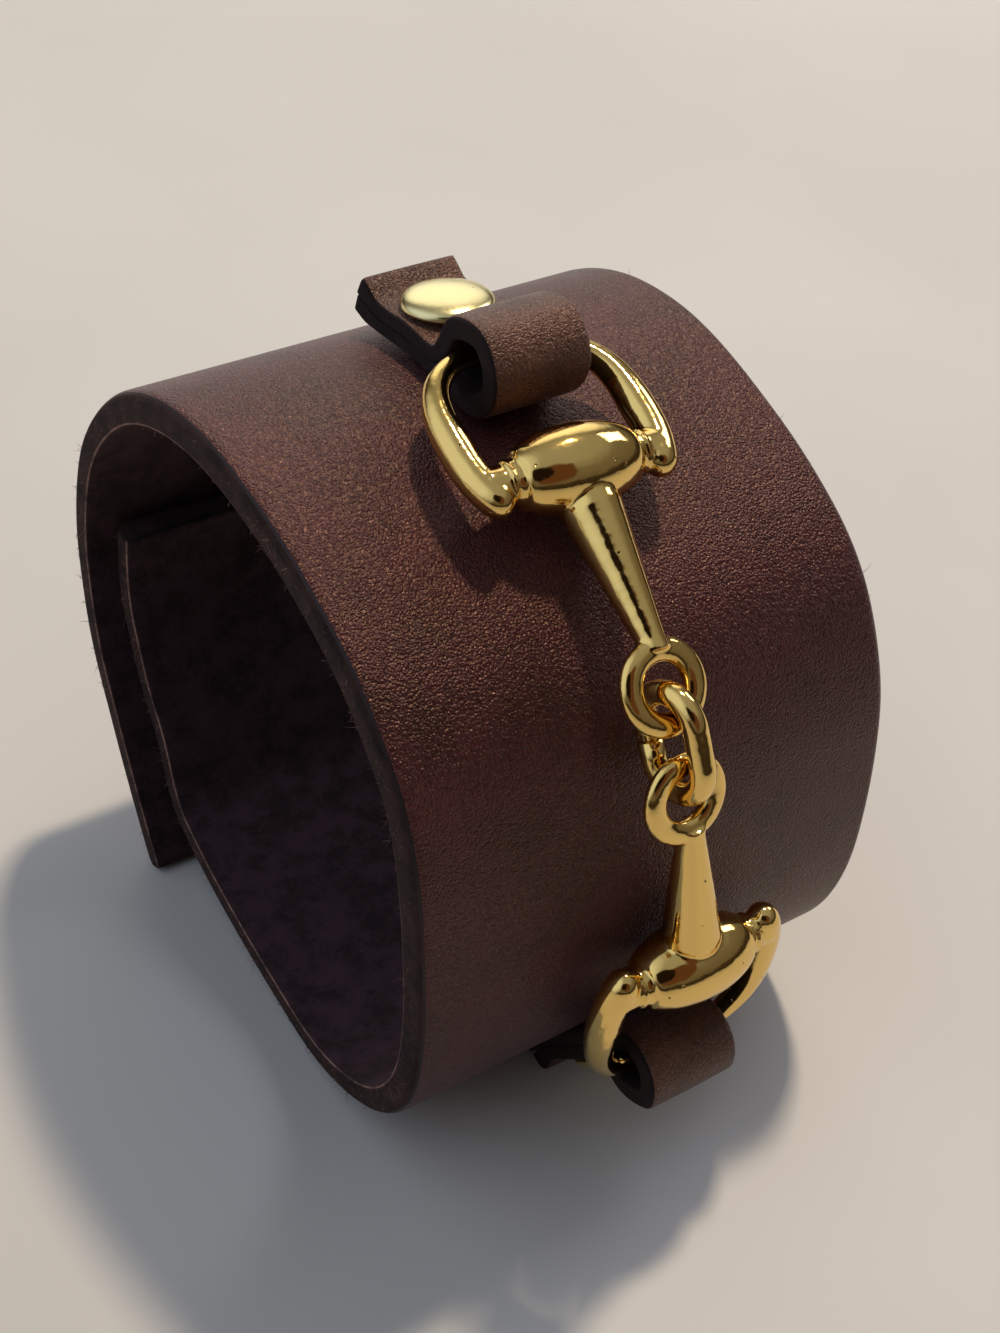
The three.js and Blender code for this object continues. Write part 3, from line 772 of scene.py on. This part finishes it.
def arm_deg(past):
    deg = 0.0
    while ring_reach_at(deg) * math.sin(math.radians(deg)) < ring_reach - ring_radius + past:
        deg += 0.1
    return deg


def ring_section(deg, wire, sides=24):
    out = np.array([math.cos(math.radians(deg)), math.sin(math.radians(deg)), 0.0])
    middle = out * ring_reach_at(deg) + np.array([0, ring_reach - ring_radius, 0])
    a = np.arange(sides) / sides * 2 * math.pi
    return middle + wire * (np.cos(a)[:, None] * out + np.sin(a)[:, None] * np.array([0, 0, 1.0]))


def half_ring():
    """Round the barrel's middle in its own plane, y towards the bar. Thin at the bar, thick in the arms."""
    end_deg = arm_deg(arm_past)
    rings = []
    for along in np.linspace(-1, 1, 121):
        wire = ring_bar_radius + (ring_arm_radius - ring_bar_radius) * smooth(abs(along), *arm_swell)
        rings.append(ring_section(90 + along * (90 + end_deg), wire))
    for deg, way in ((-end_deg, -1), (180 + end_deg, 1)):
        ends = []
        for share in (0.2, 0.4, 0.6, 0.75, 0.87, 0.95, 0.995):  # round each knob's end
            past = math.degrees(ring_arm_radius * share / ring_radius)
            ends.append(ring_section(deg + way * past, ring_arm_radius * math.sqrt(1 - share**2)))
        rings = ends[::-1] + rings if way < 0 else rings + ends
    return rings


def barrel():
    """An egg between two collars, each turned with two ridges, that reach into the ring's arms."""
    arm_at = ring_reach_at(arm_deg(0)) * math.cos(math.radians(arm_deg(0)))
    low = collar_radius - collar_groove
    side = [(0.02, low)]
    for ridge in (0.1, 0.54):  # shares of the collar's length where its two ridges begin
        side += [(ridge, low), (ridge + 0.08, collar_radius)]
        side += [(ridge + 0.26, collar_radius), (ridge + 0.34, low)]
    side.append((1.0, low))
    rows = [(low, -arm_at)] + [(r, -barrel_half - collar_length * x) for x, r in reversed(side)]
    rows.append((barrel_end_radius * 0.93, -barrel_half))
    for u in np.linspace(-0.99, 0.99, 49):
        swell = (barrel_radius - barrel_end_radius) * (1 - u * u) ** 0.8
        rows.append((barrel_end_radius + swell, u * barrel_half))
    rows.append((barrel_end_radius * 0.93, barrel_half))
    rows += [(r, barrel_half + collar_length * x) for x, r in side] + [(low, arm_at)]
    return [ring[:, [2, 1, 0]] * np.array([1, 1, -1]) for ring in lathe(rows, 48)]


def torus(radius, wire, thickness, turns=64, sides=24):
    rings = []
    for a in np.arange(turns) / turns * 2 * math.pi:
        b = np.arange(sides) / sides * 2 * math.pi
        reach = radius + wire * np.cos(b)
        rings.append(np.stack([reach * math.cos(a), reach * math.sin(a), thickness / 2 * np.sin(b)], 1))
    return rings


# %% Standing a shape on the cuff
def placed(rings, x, point, along, lean_by=0.0):
    """Turns rings from their own frame: X along the cuff's axis, Y up the leather, Z out of it."""
    y = np.array([0, along[0], along[1]])
    z = np.cross([1, 0, 0], y)
    turned = Matrix.Rotation(lean_by, 3, "Z")
    basis = np.stack([[1, 0, 0], y, z])
    return [(ring @ np.array(turned).T) @ basis + np.array([x, point[0], point[1]]) for ring in rings]


def between(rows, start, end, sides):
    """A lathe turned about the line from start to end."""
    direction = Vector(end - start).normalized()
    turned = np.array(Vector((0, 0, 1)).rotation_difference(direction).to_matrix())
    return [ring @ turned.T + start for ring in lathe(rows, sides)]


def eye_place(way):
    station = stations(way)["eye"]
    point, along, _ = over(station, eye_height)
    return np.array([sideways_at(way, station), point[0], point[1]]), along


def casting(way, name, node):
    at = stations(way)
    x = sideways_at(way, at["barrel"])
    middle, along, _ = over(at["barrel"], barrel_height)
    to_bar = strap_point(way, bar_slack, bar_height(way) - bar_sag) - middle
    up_ring = to_bar / np.linalg.norm(to_bar) * way
    turned = -way * ring_lean[way]
    flip = 0 if way > 0 else math.pi
    shells = [(placed(half_ring(), x, middle, up_ring, flip + turned), False)]
    shells.append((placed(barrel(), x, middle, along, turned), False))
    eye, eye_along = eye_place(way)
    heading = np.array([math.tan(lean[way]), way * eye_along[0], way * eye_along[1]])
    rim = eye + heading / np.linalg.norm(heading) * eye_radius
    start = np.array([x, middle[0], middle[1]])
    end = np.linalg.norm(rim - start) + eye_wire * 0.3
    shells.append((between([
        (cone_wide_radius * 0.9, barrel_radius * 0.5),
        (cone_wide_radius * 0.97, barrel_radius * 0.85),
        (cone_wide_radius, barrel_radius + cone_shoulder * 0.5),
        (cone_wide_radius * 0.985, barrel_radius + cone_shoulder),
        (cone_narrow_radius, end - eye_wire),
        (cone_narrow_radius, end),
    ], start, rim, 40), False))
    shells.append((placed(torus(eye_radius, eye_wire, eye_thickness), eye[0], eye[1:], eye_along), True))
    points, faces = [], []
    for rings, closed in shells:
        p, f, _ = loft(rings, closed)
        f = outward(p, f)
        faces += [tuple(i + len(points) for i in face) for face in f]
        points += p
    return poured(name, node, points, faces)


def poured(name, node, points, faces, voxel_mm=0.15, rounds=6):
    """Fuses overlapping shells to one skin and rounds the joints."""
    rough = bpy.data.meshes.new(name + "_shells")
    moved = (np.asarray(points, float) + np.array(AXIS_AT)) * MM
    rough.from_pydata([tuple(p) for p in moved], [], faces)
    blank = bpy.data.objects.new(name, rough)
    bpy.context.scene.collection.objects.link(blank)
    remesh = blank.modifiers.new("pour", "REMESH")
    remesh.mode, remesh.voxel_size = "VOXEL", voxel_mm * MM
    tumble = blank.modifiers.new("tumble", "SMOOTH")
    tumble.factor, tumble.iterations = 0.5, rounds
    skin = bpy.data.meshes.new_from_object(blank.evaluated_get(bpy.context.evaluated_depsgraph_get()))
    blank.modifiers.clear()
    blank.data = skin
    bpy.data.meshes.remove(rough)
    skin.name = name
    skin.materials.append(gold)
    skin.shade_smooth()
    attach(blank, "root")
    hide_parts(node)
    print(name, len(skin.polygons), "faces")
    return blank


casting(1, "bit_half_upper_casting", "bit_half_upper")
casting(-1, "bit_half_lower_casting", "bit_half_lower")

# %% [markdown]
# ## The link
# The link is a length of round wire bent to an oval. Its two ends only meet, in the leg that lies towards
# the leather, so a hair's breadth of a cut shows there.


# %% The link and its cut
def link_piece():
    upper, lower = eye_place(1)[0], eye_place(-1)[0]
    long = upper - lower
    straight = np.linalg.norm(long) / 2 - eye_radius + eye_wire + link_end_play - (link_bend - link_wire)
    long /= np.linalg.norm(long)
    flat = over(link_station, 0)[2]
    out = np.array([0, flat[0], flat[1]])
    out -= long * (out @ long)
    out /= np.linalg.norm(out)
    out = out * math.cos(link_twist) + np.cross(long, out) * math.sin(link_twist)
    side = np.cross(long, out)
    middle = (upper + lower) / 2
    a = np.linspace(-math.pi / 2, math.pi * 1.5, 97)
    path = np.stack([np.cos(a) * link_bend + np.copysign(straight, np.cos(a)), np.sin(a) * link_bend], 1)
    path[0] = (link_cut / 2, -link_bend)
    path[-1] = (-link_cut / 2, -link_bend)
    spread = normals_of(path)
    rings = []
    b = np.arange(20) / 20 * 2 * math.pi
    for (u, v), (nu, nv) in zip(path, spread):
        centre = middle + long * u + out * v
        sideways = long * nu + out * nv
        rings.append(centre + link_wire * (np.cos(b)[:, None] * sideways + np.sin(b)[:, None] * side))
    points, faces, _ = loft(rings)
    return piece("link_wire", points, faces, [gold], None, ["link"])


link_piece()

# %% [markdown]
# ## Rivets and the snap
# A rivet is a post with a cap pressed on each end. The outer cap is a shallow dome with a rolled rim; the
# inner one is flatter. The snap at the back is hidden by the flap but for its caps.


# %% Caps turned on a lathe
def rivet_rows(inside, outside, post, inner_cap, outer_cap, dome):
    """(radius, height) from the inner cap's middle, over its rim, along the post and up the outer cap."""
    inner_rim, outer_rim = inside - gap, outside + gap
    rows = [(0.02, inner_rim - inner_cap_dome)]
    for a in np.linspace(0.15, 1, 12) * math.pi / 2:
        rows.append((inner_cap * math.sin(a), inner_rim - inner_cap_dome * (0.2 + 0.8 * math.cos(a) ** 1.2)))
    rows += [(inner_cap, inner_rim), (post, inner_rim), (post, outer_rim), (outer_cap * 0.985, outer_rim)]
    rows += [(outer_cap, outer_rim + 0.12), (outer_cap * 0.995, outer_rim + cap_rim_height)]
    for a in np.linspace(0.12, 1, 16) * math.pi / 2:
        rise = (dome - cap_rim_height) * math.sin(a) ** 0.9
        rows.append((outer_cap * 0.99 * math.cos(a) + 0.02, outer_rim + cap_rim_height + rise))
    return rows


def standing(rows, x, point, along, normal, sides=64):
    basis = np.array([[1, 0, 0], [0, along[0], along[1]], [0, normal[0], normal[1]]])
    return [ring @ basis + np.array([x, point[0], point[1]]) for ring in lathe(rows, sides)]


strap_stack = gap + layer_slit + 2 * strap_leather * (1 - pinch)
for way, name in ((1, "rivet_upper"), (-1, "rivet_lower")):
    station = stations(way)["rivet"]
    inside = -cuff_leather - sag_under(turn_at(station), inner_cap_radius)
    rows = rivet_rows(inside, strap_stack, rivet_post, inner_cap_radius, rivet_cap_radius, rivet_dome)
    points, faces, _ = loft(standing(rows, strap_sideways(way, cap_station), *over(station, 0)))
    piece(name + "_caps", points, faces, [cap_gold], None, [name])

inside = -2 * cuff_leather - layer_gap - sag_under(snap_turn, inner_cap_radius)
rows = rivet_rows(inside, 0, snap_post, inner_cap_radius, snap_cap_radius, rivet_dome)
points, faces, _ = loft(standing(rows, snap_sideways, *loop_at(snap_turn)))
piece("closure_snap_caps", points, faces, [cap_gold], None, ["closure_snap"])

# %% [markdown]
# ## Table and light
# The bracelet lies on a pale table by a window. The window is high, behind it to the right, and warm; a
# second, softer lamp at the right fills in. Metal shows what is round it, so the room isn't one even grey:
# low daylight behind the bracelet, cool sky at the left, and a brown and a dark zone on the camera's side,
# which give the gold its contrast.


# %% The table
table_mesh = bpy.data.meshes.new("table")
table_mesh.from_pydata([(-2, -2, 0), (2, -2, 0), (2, 2, 0), (-2, 2, 0)], [], [(0, 1, 2, 3)])
material, tree, output, mm = new_material("pale_table")
cloud = add_node(tree, "ShaderNodeTexNoise", Vector=mm, Scale=0.01, Detail=3.0)
stops = [(0.3, linear("#c7c4bf")), (0.7, linear("#d0cdc8"))]
pale = add_node(tree, "ShaderNodeValToRGB", {"stops": stops}, Fac=cloud.outputs["Fac"])
shader = add_node(tree, "ShaderNodeBsdfPrincipled", Base_Color=pale.outputs["Color"], Roughness=0.55)
tree.links.new(shader.outputs[0], output.inputs[0])
table_mesh.materials.append(material)
table = bpy.data.objects.new("table", table_mesh)
bpy.context.scene.collection.objects.link(table)


# %% Lamps and the room
def lamp(name, towards, distance, size, power, colour):
    """A square soft lamp in a direction from the bracelet, aimed at it."""
    data = bpy.data.lights.new(name, "AREA")
    data.shape, data.size, data.energy, data.color = "SQUARE", size, power, linear(colour)[:3]
    made = bpy.data.objects.new(name, data)
    bpy.context.scene.collection.objects.link(made)
    direction = Vector(towards).normalized()
    centre = Vector((0, 0, 0.03))
    made.location = centre + direction * distance
    made.rotation_mode = "QUATERNION"
    made.rotation_quaternion = (-direction).to_track_quat("-Z", "Y")
    return made


lamp("window", towards=(0.38, 0.35, 1.0), distance=1.2, size=0.09, power=8.8, colour="#ffecd2")
lamp("side_window", towards=(1.1, 0.3, 0.8), distance=1.2, size=0.4, power=2.4, colour="#f4f3ff")

world = bpy.data.worlds.new("room")
bpy.context.scene.world = world
world.use_nodes = True
tree = world.node_tree
tree.nodes.clear()
place = add_node(tree, "ShaderNodeTexCoord")


def with_zone(room, direction, start, full, colour):
    """The room with one colour laid over it near a direction, from its cosine start to full."""
    along = add_node(
        tree, "ShaderNodeVectorMath", {"operation": "DOT_PRODUCT"},
        i0=place.outputs["Generated"], i1=direction,
    )
    share = add_node(
        tree, "ShaderNodeMapRange", {"interpolation_type": "SMOOTHSTEP"},
        Value=along.outputs["Value"], From_Min=start, From_Max=full,
    )
    mix = add_node(tree, "ShaderNodeMix", {"data_type": "RGBA"}, i0=share.outputs[0], i6=room, i7=colour)
    return mix.outputs[2]


split = add_node(tree, "ShaderNodeSeparateXYZ", Vector=place.outputs["Generated"])
stops = [
    (0.0, linear("#3a3029")), (0.16, linear("#4a413a")), (0.22, linear("#77726c")),
    (0.55, linear("#85827f")), (0.8, linear("#adb0b4")), (1.0, linear("#b4b9c2")),
]  # the walls, from the floor's height to straight overhead
walls = add_node(tree, "ShaderNodeValToRGB", {"stops": stops}, Fac=split.outputs["Z"])
daylight, sky = (2.0, 2.0, 1.96, 1.0), (1.0, 1.14, 1.4, 1.0)
room = with_zone(walls.outputs["Color"], (0.42, 0.83, 0.36), 0.875, 0.985, daylight)
room = with_zone(room, (-0.8, 0.35, 0.5), 0.6, 0.95, sky)
room = with_zone(room, (-0.2, -0.75, 0.63), 0.9, 0.93, linear("#6b4a3a"))
room = with_zone(room, (-0.46, -0.55, 0.69), 0.935, 0.95, linear("#241a15"))
background = add_node(tree, "ShaderNodeBackground", Color=room, Strength=0.7)
add_node(tree, "ShaderNodeOutputWorld", Surface=background.outputs[0])
bpy.context.scene.view_settings.view_transform = "Standard"
print("lamps and room are ready")
